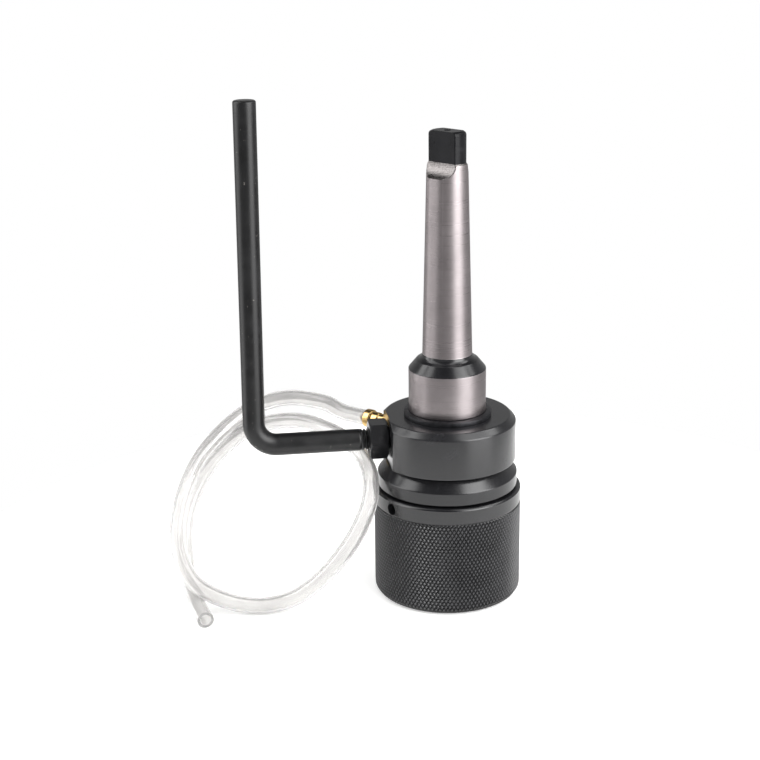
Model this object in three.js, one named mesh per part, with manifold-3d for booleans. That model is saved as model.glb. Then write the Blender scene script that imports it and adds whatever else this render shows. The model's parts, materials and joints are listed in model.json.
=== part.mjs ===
// Quick-change chuck for Weldon-shank annular cutters: a Morse taper 2 shank, a coolant ring that
// turns on the arbor's journal with a torque arm and a hose, and a knurled release sleeve.
// Millimetres, +Z up. The chuck's axis is vertical, the arbor's nose stands on z = 0, and the
// torque arm runs along -X. The origin is at the bottom centre of the box of chuck and arm.
import * as THREE from 'three';
import { mergeVertices } from 'three/addons/utils/BufferGeometryUtils.js';
import Module from 'manifold-3d';

const wasm = await Module();
wasm.setup();

// ---- Driving dimensions -------------------------------------------------------------------
const SLEEVE_R = 27; // release sleeve, over the knurl
const ARM_REACH = 70.44; // chuck axis to the upright leg of the torque arm, at the bend
const ROD_R = 4; // torque arm rod, M8 at its inner end
const CHUCK_X = (ARM_REACH + ROD_R - SLEEVE_R) / 2; // puts the origin in the middle of the box

// Morse taper 2 shank with a tang, ISO 296
const TAPER_TOP_R = 7.292;
const TAPER_BASE_R = 9;
const TAPER_BASE_Z = 91.5;
const SHANK_LENGTH = 80;
const TANG_R = 6.75;
const TANG_HALF_THICKNESS = 3.15;
const TANG_FLAT_LENGTH = 10.7;
const TANG_RUNOUT_R = 5.6;
const TANG_AZIMUTH = -140;
const SHANK_TOP_Z = TAPER_BASE_Z + SHANK_LENGTH;

// Journal, coolant ring and what holds it
const JOURNAL_R = 14;
const JOURNAL_TOP_Z = 85.9;
const RING_R = 25;
const RING_BOTTOM_Z = 51.4;
const RING_TOP_Z = 68.5;
const RING_CHAMFER = 2.1;
const RING_FLAT_X = 21.9; // the milled flat that the arm's lock nut bears on
const PORT_Z = 60; // arm hole, hose port and coolant gallery
const GALLERY_R = 15.8;
const GALLERY_WIDTH = 5;
const SEAL_GROOVE_R = 16.3;
const SEAL_GROOVE_WIDTH = 2.6;
const SEAL_GROOVE_Z = [54.9, 65.1];
const RUNNING_GAP = 0.1;
const FACE_GAP = 0.3;

// Flange
const FLANGE_R = 25.6;
const FLANGE_BOTTOM_Z = 41.7;
const FLANGE_EDGE_Z = 46.7;
const FLANGE_TOP_R = 22.5;
const FLANGE_TOP_Z = 50.5;

// Cutter socket, coolant valve and nose
const SOCKET_R = 9.57; // for the 19.05 mm Weldon shank
const SOCKET_DEPTH = 36;
const SEAT_R = 7.5;
const SEAT_TOP_Z = 44;
const CHAMBER_R = 6;
const CHAMBER_TOP_Z = 81;
const NOSE_R = 16;
const LAND_R = 20; // upper bearing land of the sleeve
const LAND_Z = 34.2;

// Release sleeve and the cutter lock inside it
const SLEEVE_BOTTOM_Z = 0.3;
const SLEEVE_TOP_Z = 41.3;
const KNURL_TOP_Z = 35.1;
const SLEEVE_LEAD_IN = { deep: 1.2, high: 1.9 }; // the taper at its bottom edge
const CAM_SEAT_Z = 22.3;
const CAM_SEAT_R = 22;
const SPRING_ROOM_R = 21;
const TWIST = 35; // degrees from locked to released
const BALL_R = 4;
const BALL_Z = 12.5;
const BALL_CENTRE_R = 12.25; // locked, with the ball standing 1.3 mm into the socket
const BALL_TRAVEL = 1.4;
const BALL_AZIMUTHS = { front: -90, side: 0 };
const SCREW_Z = 37.8;
const SCREW_R = 2;
const SCREW_AZIMUTHS = { front: -148, rear: 32 };

// Torque arm, lock nut and hose fitting
const ARM_INNER_X = 17.5;
const BEND_R = 8.3;
const ARM_TOP_Z = 183.8;
const ARM_LEAN = 0.5; // degrees that the upright leg leans back towards the chuck
const NUT_FLATS = 13;
const NUT_LENGTH = 6.8;
const BARB_AZIMUTH = 139;
const BARB_FACE_R = 35.5;
const HOSE_R = 3;

const ROUND = 40; // facets around the larger turned parts
const SMALL_ROUND = 20;

// The hose's route from the fitting to its cut end, measured from the chuck's axis
const HOSE_ROUTE = [
  [-27, 23.5, 60], [-31.2, 27.1, 60], [-35.5, 30.9, 60.4], [-40.6, 35.4, 62.4], [-46.9, 39.6, 63],
  [-54.3, 42.2, 63.2], [-62.8, 41.7, 62.2], [-72, 38.5, 59.3], [-80.6, 33.3, 54.5], [-88.7, 27.1, 48],
  [-94.7, 20.3, 40], [-98.5, 13.4, 31], [-100, 6.5, 22.8], [-98.4, -1.6, 15.6], [-94.3, -7.3, 10.5],
  [-88.2, -11.1, 7.3], [-79.3, -13.3, 4.3], [-69.3, -14, 3.1], [-58.8, -14.8, 5.7], [-49.4, -16, 12.7],
  [-41.4, -16.4, 21.8], [-34.7, -15, 31.5], [-30.2, -11.4, 41], [-29.2, -4, 47.5], [-30.8, 5, 51.3],
  [-35.3, 15.2, 54.4], [-42.9, 24.5, 56.5], [-52.2, 31.8, 57.3], [-62.5, 36.2, 55.6],
  [-73, 37.8, 51.5], [-82, 36.8, 44.5], [-89.3, 34.1, 35.9], [-94.6, 29.8, 26.1], [-96.8, 23.4, 17.1],
  [-96.9, 16.1, 9.5], [-96.2, 7.8, 4.6], [-94.9, -2, 3.1], [-93.3, -12.2, 3.1], [-91.3, -22.3, 3.1],
];
const HOSE_STEPS = 56;
const HOSE_SIDES = 8;

const radians = THREE.MathUtils.degToRad;

// ---- Solids -------------------------------------------------------------------------------

// A closed geometry as a manifold solid, its shared corners merged.
function solidOf(geometry) {
  geometry.deleteAttribute('normal');
  geometry.deleteAttribute('uv');
  const welded = mergeVertices(geometry, 1e-5);
  const index = welded.index.array;
  const corners = [];
  for (let i = 0; i < index.length; i += 3) {
    const [a, b, c] = index.slice(i, i + 3);
    if (a !== b && b !== c && c !== a) corners.push(a, b, c);
  }
  return new wasm.Manifold(new wasm.Mesh({
    numProp: 3,
    vertProperties: new Float32Array(welded.attributes.position.array),
    triVerts: new Uint32Array(corners),
  }));
}

function geometryOf(solid) {
  const { vertProperties, triVerts } = solid.getMesh();
  const geometry = new THREE.BufferGeometry();
  geometry.setAttribute('position', new THREE.BufferAttribute(vertProperties, 3));
  geometry.setIndex(new THREE.BufferAttribute(triVerts, 1));
  geometry.computeVertexNormals();
  return geometry;
}

// An outline of [radius, height] pairs turned about Z: up the outside, then down the inside.
function turned(outline, facets = ROUND) {
  const points = outline.map(([r, z]) => new THREE.Vector2(r, z));
  points.push(points[0].clone());
  return solidOf(new THREE.LatheGeometry(points, facets).rotateX(Math.PI / 2));
}

// A flat outline of [x, y] pairs raised from z = 0.
function raised(outline, height) {
  const shape = new THREE.Shape(outline.map(([x, y]) => new THREE.Vector2(x, y)));
  return solidOf(new THREE.ExtrudeGeometry(shape, { depth: height, bevelEnabled: false }));
}

function ball(radius, across, down) {
  return solidOf(new THREE.SphereGeometry(radius, across, down));
}

function block(x, y, z) {
  return solidOf(new THREE.BoxGeometry(x, y, z));
}

// A round bar along +X from `start` to `end`.
function barAlongX(radius, start, end, facets = SMALL_ROUND) {
  const outline = [[0, start], [radius, start], [radius, end], [0, end]];
  return turned(outline, facets).rotate([0, 90, 0]);
}

// A solid that was drawn on the XZ plane's +X side, turned to an azimuth about Z.
function atAzimuth(solid, degrees) {
  return solid.rotate([0, 0, degrees]);
}

// The points of an arc in the XY plane, as [x, y] pairs.
function arc(radius, from, to, count) {
  return Array.from({ length: count + 1 }, (_, i) => {
    const angle = radians(from + ((to - from) * i) / count);
    return [radius * Math.cos(angle), radius * Math.sin(angle)];
  });
}

// A path through knots that an extrusion steps along one knot at a time.
class KnotPath extends THREE.Curve {
  constructor(knots) {
    super();
    this.knots = knots;
  }
  getPoint(t, target = new THREE.Vector3()) {
    return target.copy(this.knots[Math.round(t * (this.knots.length - 1))]);
  }
  getPointAt(t, target) {
    return this.getPoint(t, target);
  }
  getTangentAt(t, target = new THREE.Vector3()) {
    const i = Math.round(t * (this.knots.length - 1));
    const before = this.knots[Math.max(i - 1, 0)];
    const after = this.knots[Math.min(i + 1, this.knots.length - 1)];
    return target.copy(after).sub(before).normalize();
  }
}

// A round section swept through knots.
function swept(knots, radius, sides) {
  const section = new THREE.Shape(
    arc(radius, 0, 360, sides).slice(0, sides).map(([x, y]) => new THREE.Vector2(x, y)),
  );
  const path = new KnotPath(knots);
  return solidOf(new THREE.ExtrudeGeometry(section, { steps: knots.length - 1, extrudePath: path }));
}

// ---- Arbor --------------------------------------------------------------------------------

// The circlip grooves are the shaft sizes of DIN 471: 28 on the journal and 32 on the nose.
const JOURNAL_GROOVE = { bottom: RING_TOP_Z + 0.02, width: 1.6, radius: 13.3 };
const NOSE_GROOVE = { bottom: 1.5, width: 1.6, radius: 15.15 };
const SEAT_GROOVE = { bottom: 36.5, width: 1.3, radius: 8.1 };

function tangFlatCutter() {
  const reach = TANG_R * 2;
  const flatBottom = SHANK_TOP_Z - TANG_FLAT_LENGTH;
  const slab = block(reach, reach * 2, TANG_FLAT_LENGTH + TANG_RUNOUT_R)
    .translate([TANG_HALF_THICKNESS + reach / 2, 0, flatBottom + (TANG_FLAT_LENGTH + TANG_RUNOUT_R) / 2]);
  const runout = turned([[0, -reach], [TANG_RUNOUT_R, -reach], [TANG_RUNOUT_R, reach], [0, reach]])
    .rotate([90, 0, 0])
    .translate([TANG_HALF_THICKNESS + TANG_RUNOUT_R, 0, flatBottom]);
  return slab.add(runout);
}

// The slot that a guide screw's tip runs in, cut into the upper land.
function guideSlot(azimuth) {
  const margin = 9;
  const bottom = 18.3;
  const outside = LAND_R + 1;
  const halfHeight = 1.9;
  const outline = [...arc(bottom, -margin, TWIST + margin, 8), ...arc(outside, TWIST + margin, -margin, 8)];
  return atAzimuth(raised(outline, halfHeight * 2).translate([0, 0, SCREW_Z - halfHeight]), azimuth);
}

// The radial pocket of a lock ball, with a lip that keeps the ball out of the socket.
function ballPocket(azimuth) {
  const lipR = 3.55;
  const lipEnd = 10.1;
  const pocket = barAlongX(BALL_R + 0.15, lipEnd, NOSE_R + 1);
  const window = barAlongX(lipR, SOCKET_R - 2, lipEnd + 1);
  return atAzimuth(pocket.add(window).translate([0, 0, BALL_Z]), azimuth);
}

function arborBody() {
  const edge = 0.8;
  let body = turned([
    [SOCKET_R + edge, 0], [NOSE_R - edge, 0], [NOSE_R, edge],
    [NOSE_R, NOSE_GROOVE.bottom], [NOSE_GROOVE.radius, NOSE_GROOVE.bottom],
    [NOSE_GROOVE.radius, NOSE_GROOVE.bottom + NOSE_GROOVE.width],
    [NOSE_R, NOSE_GROOVE.bottom + NOSE_GROOVE.width],
    [NOSE_R, LAND_Z], [LAND_R, LAND_Z], [LAND_R, FLANGE_BOTTOM_Z],
    [FLANGE_R - 0.5, FLANGE_BOTTOM_Z], [FLANGE_R, FLANGE_BOTTOM_Z + 0.5], [FLANGE_R, FLANGE_EDGE_Z],
    [FLANGE_TOP_R, FLANGE_TOP_Z], [JOURNAL_R, FLANGE_TOP_Z],
    [JOURNAL_R, JOURNAL_GROOVE.bottom], [JOURNAL_GROOVE.radius, JOURNAL_GROOVE.bottom],
    [JOURNAL_GROOVE.radius, JOURNAL_GROOVE.bottom + JOURNAL_GROOVE.width],
    [JOURNAL_R, JOURNAL_GROOVE.bottom + JOURNAL_GROOVE.width],
    [JOURNAL_R, JOURNAL_TOP_Z], [11.2, 89.3], [10.1, 89.8], [9.35, 90.5], [TAPER_BASE_R, TAPER_BASE_Z],
    [TAPER_TOP_R, SHANK_TOP_Z - 11.6], [TANG_R, SHANK_TOP_Z - 11],
    [TANG_R, SHANK_TOP_Z - 1.2], [6.45, SHANK_TOP_Z - 0.5], [5.6, SHANK_TOP_Z],
    [1.3, SHANK_TOP_Z], [0, SHANK_TOP_Z - 1],
    [0, CHAMBER_TOP_Z + 2.5], [CHAMBER_R, CHAMBER_TOP_Z], [CHAMBER_R, SEAT_TOP_Z], [SEAT_R, SEAT_TOP_Z],
    [SEAT_R, SEAT_GROOVE.bottom + SEAT_GROOVE.width],
    [SEAT_GROOVE.radius, SEAT_GROOVE.bottom + SEAT_GROOVE.width],
    [SEAT_GROOVE.radius, SEAT_GROOVE.bottom], [SEAT_R, SEAT_GROOVE.bottom],
    [SEAT_R, SOCKET_DEPTH], [SOCKET_R, SOCKET_DEPTH], [SOCKET_R, edge],
  ]);
  const flat = tangFlatCutter();
  body = body.subtract(atAzimuth(flat, TANG_AZIMUTH)).subtract(atAzimuth(flat, TANG_AZIMUTH + 180));
  for (const azimuth of Object.values(SCREW_AZIMUTHS)) body = body.subtract(guideSlot(azimuth));
  for (const azimuth of Object.values(BALL_AZIMUTHS)) body = body.subtract(ballPocket(azimuth));
  const port = barAlongX(2.5, -JOURNAL_R - 1, JOURNAL_R + 1, 12).translate([0, 0, PORT_Z]);
  return body.subtract(port).subtract(atAzimuth(port, 90));
}

// An external retaining ring: eccentric rim, two lugs with plier holes and a gap, all at `azimuth`.
function retainingRing({ bottom, width, radius }, outer, lug, azimuth) {
  const inner = radius + 0.05;
  const gap = 14;
  const shift = (outer - inner) * 0.22;
  const rim = arc(outer - shift, gap, 360 - gap, 34).map(([x, y]) => [x - shift, y]);
  let ring = raised([...rim, ...arc(inner, 360 - gap, gap, 34)], width - 0.1);
  for (const side of [-1, 1]) {
    const boss = turned([[0, 0], [lug / 2, 0], [lug / 2, width - 0.1], [0, width - 0.1]], 12);
    const hole = turned([[0, -1], [lug / 5, -1], [lug / 5, width + 1], [0, width + 1]], 8);
    const place = (piece) => atAzimuth(piece.translate([inner + lug / 2 + 0.2, 0, 0]), side * (gap + 4));
    ring = ring.add(place(boss)).subtract(place(hole));
  }
  return atAzimuth(ring.translate([0, 0, bottom + 0.05]), azimuth);
}

function journalCirclip() {
  return retainingRing(JOURNAL_GROOVE, 16.6, 3.4, 90);
}

function noseCirclip() {
  return retainingRing(NOSE_GROOVE, 18.8, 3.6, 90);
}

// An internal retaining ring below the valve seat, with its gap at the back.
function seatCirclip() {
  const outer = SEAT_GROOVE.radius - 0.08;
  const outline = [...arc(outer, 105, 435, 30), ...arc(5.6, 435, 105, 30)];
  return raised(outline, SEAT_GROOVE.width - 0.1).translate([0, 0, SEAT_GROOVE.bottom + 0.05]);
}

// ---- Coolant ring -------------------------------------------------------------------------

function coolantRing() {
  const bore = JOURNAL_R + RUNNING_GAP;
  const grooves = [...SEAL_GROOVE_Z].reverse().map((z) => [
    [bore, z + SEAL_GROOVE_WIDTH / 2], [SEAL_GROOVE_R, z + SEAL_GROOVE_WIDTH / 2],
    [SEAL_GROOVE_R, z - SEAL_GROOVE_WIDTH / 2], [bore, z - SEAL_GROOVE_WIDTH / 2],
  ]);
  const gallery = [
    [bore, PORT_Z + GALLERY_WIDTH / 2], [GALLERY_R, PORT_Z + GALLERY_WIDTH / 2],
    [GALLERY_R, PORT_Z - GALLERY_WIDTH / 2], [bore, PORT_Z - GALLERY_WIDTH / 2],
  ];
  let ring = turned([
    [bore, RING_BOTTOM_Z], [RING_R - 0.4, RING_BOTTOM_Z], [RING_R, RING_BOTTOM_Z + 0.4],
    [RING_R, RING_TOP_Z - RING_CHAMFER], [RING_R - RING_CHAMFER, RING_TOP_Z], [bore, RING_TOP_Z],
    ...grooves[0], ...gallery, ...grooves[1],
  ]);
  const height = RING_TOP_Z - RING_BOTTOM_Z + 2;
  const flat = block(RING_R, RING_R * 2, height).translate([-RING_FLAT_X - RING_R / 2, 0, PORT_Z]);
  const armHole = barAlongX(ROD_R + RUNNING_GAP, -RING_R, -ARM_INNER_X + FACE_GAP)
    .translate([0, 0, PORT_Z]);
  const spotFace = barAlongX(4.6, RING_R - 0.45, RING_R + 2);
  const thread = barAlongX(2.6, 18.5, RING_R);
  const passage = barAlongX(1.5, JOURNAL_R - 1, 19, 12);
  const port = spotFace.add(thread).add(passage).translate([0, 0, PORT_Z]);
  ring = ring.subtract(flat).subtract(armHole);
  return ring.subtract(atAzimuth(port, BARB_AZIMUTH));
}

// An O-ring between the coolant ring and the journal.
function ringSeal(z) {
  const section = 0.98;
  const middle = JOURNAL_R + 1.2;
  const outline = arc(section, -90, 270, 6).slice(0, 6).map(([r, h]) => [middle + r, z + h]);
  return turned(outline, ROUND);
}

// A flat washer that the coolant ring turns on.
function thrustWasher() {
  const bottom = FLANGE_TOP_Z + 0.1;
  const top = RING_BOTTOM_Z - 0.1;
  const inner = JOURNAL_R + 0.2;
  const outer = 21.5;
  return turned([[inner, bottom], [outer, bottom], [outer, top], [inner, top]]);
}

function torqueArm() {
  const lean = radians(ARM_LEAN);
  const bendAngle = Math.PI / 2 + lean;
  // The leg's axis passes through the reach at the height where the bend ends.
  const bendX = -ARM_REACH + BEND_R * Math.cos(lean);
  const knots = [new THREE.Vector3(-ARM_INNER_X, 0, PORT_Z)];
  const bendSteps = 8;
  for (let i = 0; i <= bendSteps; i += 1) {
    const angle = (bendAngle * i) / bendSteps;
    const x = bendX - BEND_R * Math.sin(angle);
    const z = PORT_Z + BEND_R * (1 - Math.cos(angle));
    knots.push(new THREE.Vector3(x, 0, z));
  }
  const end = knots.at(-1);
  const rise = ARM_TOP_Z + 1 - end.z;
  knots.push(new THREE.Vector3(end.x + rise * Math.tan(lean), 0, end.z + rise));
  return armLevelled(swept(knots, ROD_R, 16));
}

// The leg's end is cut level, so that its top face is flat.
function armLevelled(rod) {
  const size = 6 * ROD_R;
  const waste = block(size, size, size).translate([-ARM_REACH, 0, ARM_TOP_Z + size / 2]);
  return rod.subtract(waste);
}

function armLockNut() {
  const corner = NUT_FLATS / Math.sqrt(3);
  const hexagon = arc(corner, 0, 360, 6).slice(0, 6);
  const chamfer = 0.9;
  const blank = raised(hexagon, NUT_LENGTH);
  const rounded = turned([
    [0, 0], [corner - chamfer, 0], [corner + 0.1, chamfer * 0.6],
    [corner + 0.1, NUT_LENGTH - chamfer * 0.6], [corner - chamfer, NUT_LENGTH], [0, NUT_LENGTH],
  ], SMALL_ROUND);
  const bore = barAlongX(ROD_R + RUNNING_GAP, -1, NUT_LENGTH + 1).rotate([0, -90, 0]);
  // Raised along -X, with flats above and below and a corner towards each side.
  return blank.intersect(rounded).subtract(bore)
    .rotate([0, 0, 90])
    .rotate([0, -90, 0])
    .translate([-RING_FLAT_X - FACE_GAP, 0, PORT_Z]);
}

// The brass hose fitting: thread, neck and two collars, up to the face that the hose stands at.
function hoseBarb() {
  const outline = [
    [0.8, 18.9], [2.45, 18.9], [2.45, RING_R - 0.15], [2.7, RING_R - 0.1],
    [2.7, 29.2], [3.0, 29.6], [3.0, 31.9], [2.75, 32.2],
    [3.3, 32.5], [3.5, 32.9], [3.5, 35.1], [3.2, BARB_FACE_R], [0.8, BARB_FACE_R],
  ];
  const fitting = turned(outline, SMALL_ROUND).rotate([0, 90, 0]).translate([0, 0, PORT_Z]);
  return atAzimuth(fitting, BARB_AZIMUTH);
}

function coolantHose() {
  const route = new THREE.CatmullRomCurve3(HOSE_ROUTE.map((p) => new THREE.Vector3(...p)));
  return swept(route.getSpacedPoints(HOSE_STEPS), HOSE_R, HOSE_SIDES);
}

// ---- Release sleeve -----------------------------------------------------------------------

function releaseSleeve() {
  const topEdge = 1.1;
  const groove = 0.3;
  let sleeve = turned([
    [CAM_SEAT_R, SLEEVE_BOTTOM_Z], [SLEEVE_R - SLEEVE_LEAD_IN.deep, SLEEVE_BOTTOM_Z],
    [SLEEVE_R, SLEEVE_BOTTOM_Z + SLEEVE_LEAD_IN.high], [SLEEVE_R, KNURL_TOP_Z],
    [SLEEVE_R - groove, KNURL_TOP_Z + groove], [SLEEVE_R, KNURL_TOP_Z + 2 * groove],
    [SLEEVE_R, SLEEVE_TOP_Z - topEdge], [SLEEVE_R - topEdge, SLEEVE_TOP_Z],
    [LAND_R + RUNNING_GAP, SLEEVE_TOP_Z], [LAND_R + RUNNING_GAP, LAND_Z], [SPRING_ROOM_R, LAND_Z],
    [SPRING_ROOM_R, CAM_SEAT_Z], [CAM_SEAT_R, CAM_SEAT_Z],
  ]);
  for (const azimuth of Object.values(SCREW_AZIMUTHS)) {
    const hole = barAlongX(SCREW_R + RUNNING_GAP, LAND_R - 2, SLEEVE_R + 1).translate([0, 0, SCREW_Z]);
    sleeve = sleeve.subtract(atAzimuth(hole, azimuth));
  }
  return sleeve;
}

// The ring inside the sleeve whose groove deepens over the twist, so that the balls can back off.
function lockCamRing() {
  const bottom = NOSE_GROOVE.bottom + NOSE_GROOVE.width + 0.1;
  const top = CAM_SEAT_Z - RUNNING_GAP;
  const outer = CAM_SEAT_R - RUNNING_GAP;
  const inner = NOSE_R + RUNNING_GAP;
  const lockedR = BALL_CENTRE_R + BALL_R + 0.12;
  const halfWidth = BALL_R + 0.4;
  const steps = 72;
  const groove = Array.from({ length: steps }, (_, i) => {
    const azimuth = (360 * i) / steps;
    const openings = Object.values(BALL_AZIMUTHS).map((at) => {
      const before = (((at - azimuth) % 360) + 360) % 360;
      if (before <= TWIST) return before / TWIST;
      return before <= TWIST + 10 ? 1 : 0;
    });
    const radius = lockedR + BALL_TRAVEL * Math.max(...openings);
    return [radius * Math.cos(radians(azimuth)), radius * Math.sin(radians(azimuth))];
  });
  const ring = turned([[inner, bottom], [outer, bottom], [outer, top], [inner, top]]);
  return ring.subtract(raised(groove, halfWidth * 2).translate([0, 0, BALL_Z - halfWidth]));
}

// A screw in the sleeve's collar, below its surface, whose tip runs in the arbor's slot.
function guideScrew(azimuth) {
  const outline = [
    [0, 18.6], [1.4, 18.6], [1.4, 20.3], [SCREW_R, 20.8], [SCREW_R, 24.2],
    [1.15, 24.2], [1.15, 22.7], [0, 22.4],
  ];
  const screw = turned(outline, 12).rotate([0, 90, 0]).translate([0, 0, SCREW_Z]);
  return atAzimuth(screw, azimuth);
}

// A helix of round wire about Z.
function coil(radius, wire, bottom, top, turns, stepsPerTurn, sides) {
  const count = turns * stepsPerTurn;
  const knots = Array.from({ length: count + 1 }, (_, i) => {
    const angle = (2 * Math.PI * i) / stepsPerTurn;
    const z = bottom + ((top - bottom) * i) / count;
    return new THREE.Vector3(radius * Math.cos(angle), radius * Math.sin(angle), z);
  });
  return swept(knots, wire, sides);
}

function sleeveSpring() {
  const wire = 0.9;
  return coil((NOSE_R + SPRING_ROOM_R) / 2, wire, CAM_SEAT_Z + wire + 0.4, LAND_Z - wire - 0.4, 4, 16, 5);
}

function lockBall(azimuth) {
  return atAzimuth(ball(BALL_R, 16, 10).translate([BALL_CENTRE_R, 0, BALL_Z]), azimuth);
}

// ---- Coolant valve in the arbor -----------------------------------------------------------

const STEM_R = 3;
const STEM_BOTTOM_Z = 29;
const HEAD_BOTTOM_Z = SEAT_TOP_Z + 1.1;
const HEAD_TOP_Z = 49;

function valveSeat() {
  const bore = STEM_R + 0.3;
  const bottom = SEAT_GROOVE.bottom + SEAT_GROOVE.width + 0.1;
  const top = SEAT_TOP_Z - RUNNING_GAP;
  const outer = SEAT_R - RUNNING_GAP;
  return turned([[bore, bottom], [outer, bottom], [outer, top], [bore, top]], SMALL_ROUND * 2);
}

// The stem that a cutter's pilot pin lifts, with its head above the seat and a spigot in the spring.
function valvePlunger() {
  const headR = CHAMBER_R - 0.4;
  const edge = 0.6;
  const spigotR = 2.8;
  const spigotTop = HEAD_TOP_Z + 5;
  return turned([
    [0, STEM_BOTTOM_Z], [STEM_R - edge, STEM_BOTTOM_Z], [STEM_R, STEM_BOTTOM_Z + edge],
    [STEM_R, HEAD_BOTTOM_Z], [headR, HEAD_BOTTOM_Z], [headR, HEAD_TOP_Z],
    [spigotR, HEAD_TOP_Z], [spigotR, spigotTop], [0, spigotTop],
  ], SMALL_ROUND);
}

function valveSeal() {
  const bottom = SEAT_TOP_Z;
  const top = HEAD_BOTTOM_Z - 0.1;
  return turned([[3.6, bottom], [5.2, bottom], [5.2, top], [3.6, top]], SMALL_ROUND);
}

function valveSpring() {
  const wire = 0.5;
  return coil(4.6, wire, HEAD_TOP_Z + wire + 0.2, CHAMBER_TOP_Z - wire - 0.3, 7, 10, 5);
}

// ---- Assembly -----------------------------------------------------------------------------

const BLACK_OXIDE = { color: 0x2b2b2e, roughness: 0.38, metalness: 0.85 };
const GROUND_STEEL = { color: 0xb9b4b0, roughness: 0.3, metalness: 1 };
const SPRING_STEEL = { color: 0x6d6d70, roughness: 0.35, metalness: 0.9 };
const BEARING_STEEL = { color: 0xd0d0d2, roughness: 0.15, metalness: 1 };
const BRASS = { color: 0xd2a24a, roughness: 0.25, metalness: 1 };
const RUBBER = { color: 0x151515, roughness: 0.8, metalness: 0 };
const NYLON = { color: 0x2a2a2b, roughness: 0.6, metalness: 0 };
const CLEAR_HOSE = { color: 0xe8eceb, roughness: 0.12, metalness: 0, transparent: true, opacity: 0.35 };

const pieces = [
  ['arbor_body', arborBody(), GROUND_STEEL],
  ['journal_circlip', journalCirclip(), SPRING_STEEL],
  ['nose_circlip', noseCirclip(), SPRING_STEEL],
  ['seat_circlip', seatCirclip(), SPRING_STEEL],
  ['thrust_washer', thrustWasher(), NYLON],
  ['valve_seat', valveSeat(), BRASS],
  ['valve_plunger', valvePlunger(), GROUND_STEEL],
  ['valve_seal', valveSeal(), RUBBER],
  ['valve_spring', valveSpring(), SPRING_STEEL],
  ['coolant_ring', coolantRing(), BLACK_OXIDE],
  ['lower_ring_seal', ringSeal(SEAL_GROOVE_Z[0]), RUBBER],
  ['upper_ring_seal', ringSeal(SEAL_GROOVE_Z[1]), RUBBER],
  ['torque_arm', torqueArm(), BLACK_OXIDE],
  ['arm_lock_nut', armLockNut(), BLACK_OXIDE],
  ['hose_barb', hoseBarb(), BRASS],
  ['coolant_hose', coolantHose(), CLEAR_HOSE],
  ['release_sleeve', releaseSleeve(), BLACK_OXIDE],
  ['lock_cam_ring', lockCamRing(), BEARING_STEEL],
  ['sleeve_spring', sleeveSpring(), SPRING_STEEL],
];
for (const [place, azimuth] of Object.entries(SCREW_AZIMUTHS)) {
  pieces.push([`guide_screw_${place}`, guideScrew(azimuth), BLACK_OXIDE]);
}
for (const [place, azimuth] of Object.entries(BALL_AZIMUTHS)) {
  pieces.push([`lock_ball_${place}`, lockBall(azimuth), BEARING_STEEL]);
}

const chuck = new THREE.Group();
chuck.position.x = CHUCK_X;
for (const [name, solid, look] of pieces) {
  const mesh = new THREE.Mesh(geometryOf(solid), new THREE.MeshStandardMaterial(look));
  mesh.name = name;
  chuck.add(mesh);
}

export default chuck;
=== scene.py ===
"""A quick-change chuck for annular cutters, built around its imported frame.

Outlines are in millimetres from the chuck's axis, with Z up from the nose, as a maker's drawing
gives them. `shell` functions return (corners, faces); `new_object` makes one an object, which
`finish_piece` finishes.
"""

import json
import math

import bpy
from bpy.props import FloatProperty, FloatVectorProperty, IntProperty, PointerProperty
from mathutils import Matrix, Vector

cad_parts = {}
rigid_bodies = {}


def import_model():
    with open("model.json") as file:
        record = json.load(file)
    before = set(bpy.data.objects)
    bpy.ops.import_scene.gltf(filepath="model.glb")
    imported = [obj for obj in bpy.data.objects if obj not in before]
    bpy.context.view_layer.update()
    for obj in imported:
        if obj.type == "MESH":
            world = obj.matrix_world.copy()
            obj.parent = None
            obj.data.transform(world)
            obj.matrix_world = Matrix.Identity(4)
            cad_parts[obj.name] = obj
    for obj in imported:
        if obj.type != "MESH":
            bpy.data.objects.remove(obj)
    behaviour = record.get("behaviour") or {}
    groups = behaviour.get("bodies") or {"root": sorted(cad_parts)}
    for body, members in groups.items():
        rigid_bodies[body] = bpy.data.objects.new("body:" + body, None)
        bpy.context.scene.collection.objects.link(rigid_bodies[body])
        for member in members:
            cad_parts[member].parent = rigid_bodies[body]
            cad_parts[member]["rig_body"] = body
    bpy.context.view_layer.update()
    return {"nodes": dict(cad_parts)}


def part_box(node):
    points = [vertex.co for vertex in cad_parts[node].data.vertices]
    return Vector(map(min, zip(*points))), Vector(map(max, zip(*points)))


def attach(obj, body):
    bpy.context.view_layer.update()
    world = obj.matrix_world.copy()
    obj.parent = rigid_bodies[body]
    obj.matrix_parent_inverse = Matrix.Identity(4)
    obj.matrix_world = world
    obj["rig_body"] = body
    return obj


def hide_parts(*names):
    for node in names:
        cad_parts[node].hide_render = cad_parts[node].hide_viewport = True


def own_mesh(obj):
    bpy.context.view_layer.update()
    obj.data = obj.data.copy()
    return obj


bl_info = {
    "name": "Annular cutter chuck",
    "version": (1, 0, 0),
    "blender": (4, 5, 0),
    "location": "View3D > Sidebar > Chuck",
    "description": "Builds a Morse taper chuck with a coolant ring, torque arm and hose",
    "category": "Object",
}

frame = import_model()
# The body that each CAD node rides on, as the frame has it.
NODE_BODY = {name: obj["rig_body"] for name, obj in frame["nodes"].items()}

MM = 0.001
SLEEVE_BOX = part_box("release_sleeve")
AXIS_X = (SLEEVE_BOX[0].x + SLEEVE_BOX[1].x) / 2 / MM
SLEEVE_R = 27.0


def linear(code):
    """An sRGB hex colour as linear red, green and blue."""
    channels = [int(code[i : i + 2], 16) / 255 for i in (1, 3, 5)]
    return tuple(
        c / 12.92 if c <= 0.04045 else ((c + 0.055) / 1.055) ** 2.4 for c in channels
    )


# ---- Sizes, colours and light that a user may change --------------------------------------


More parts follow.
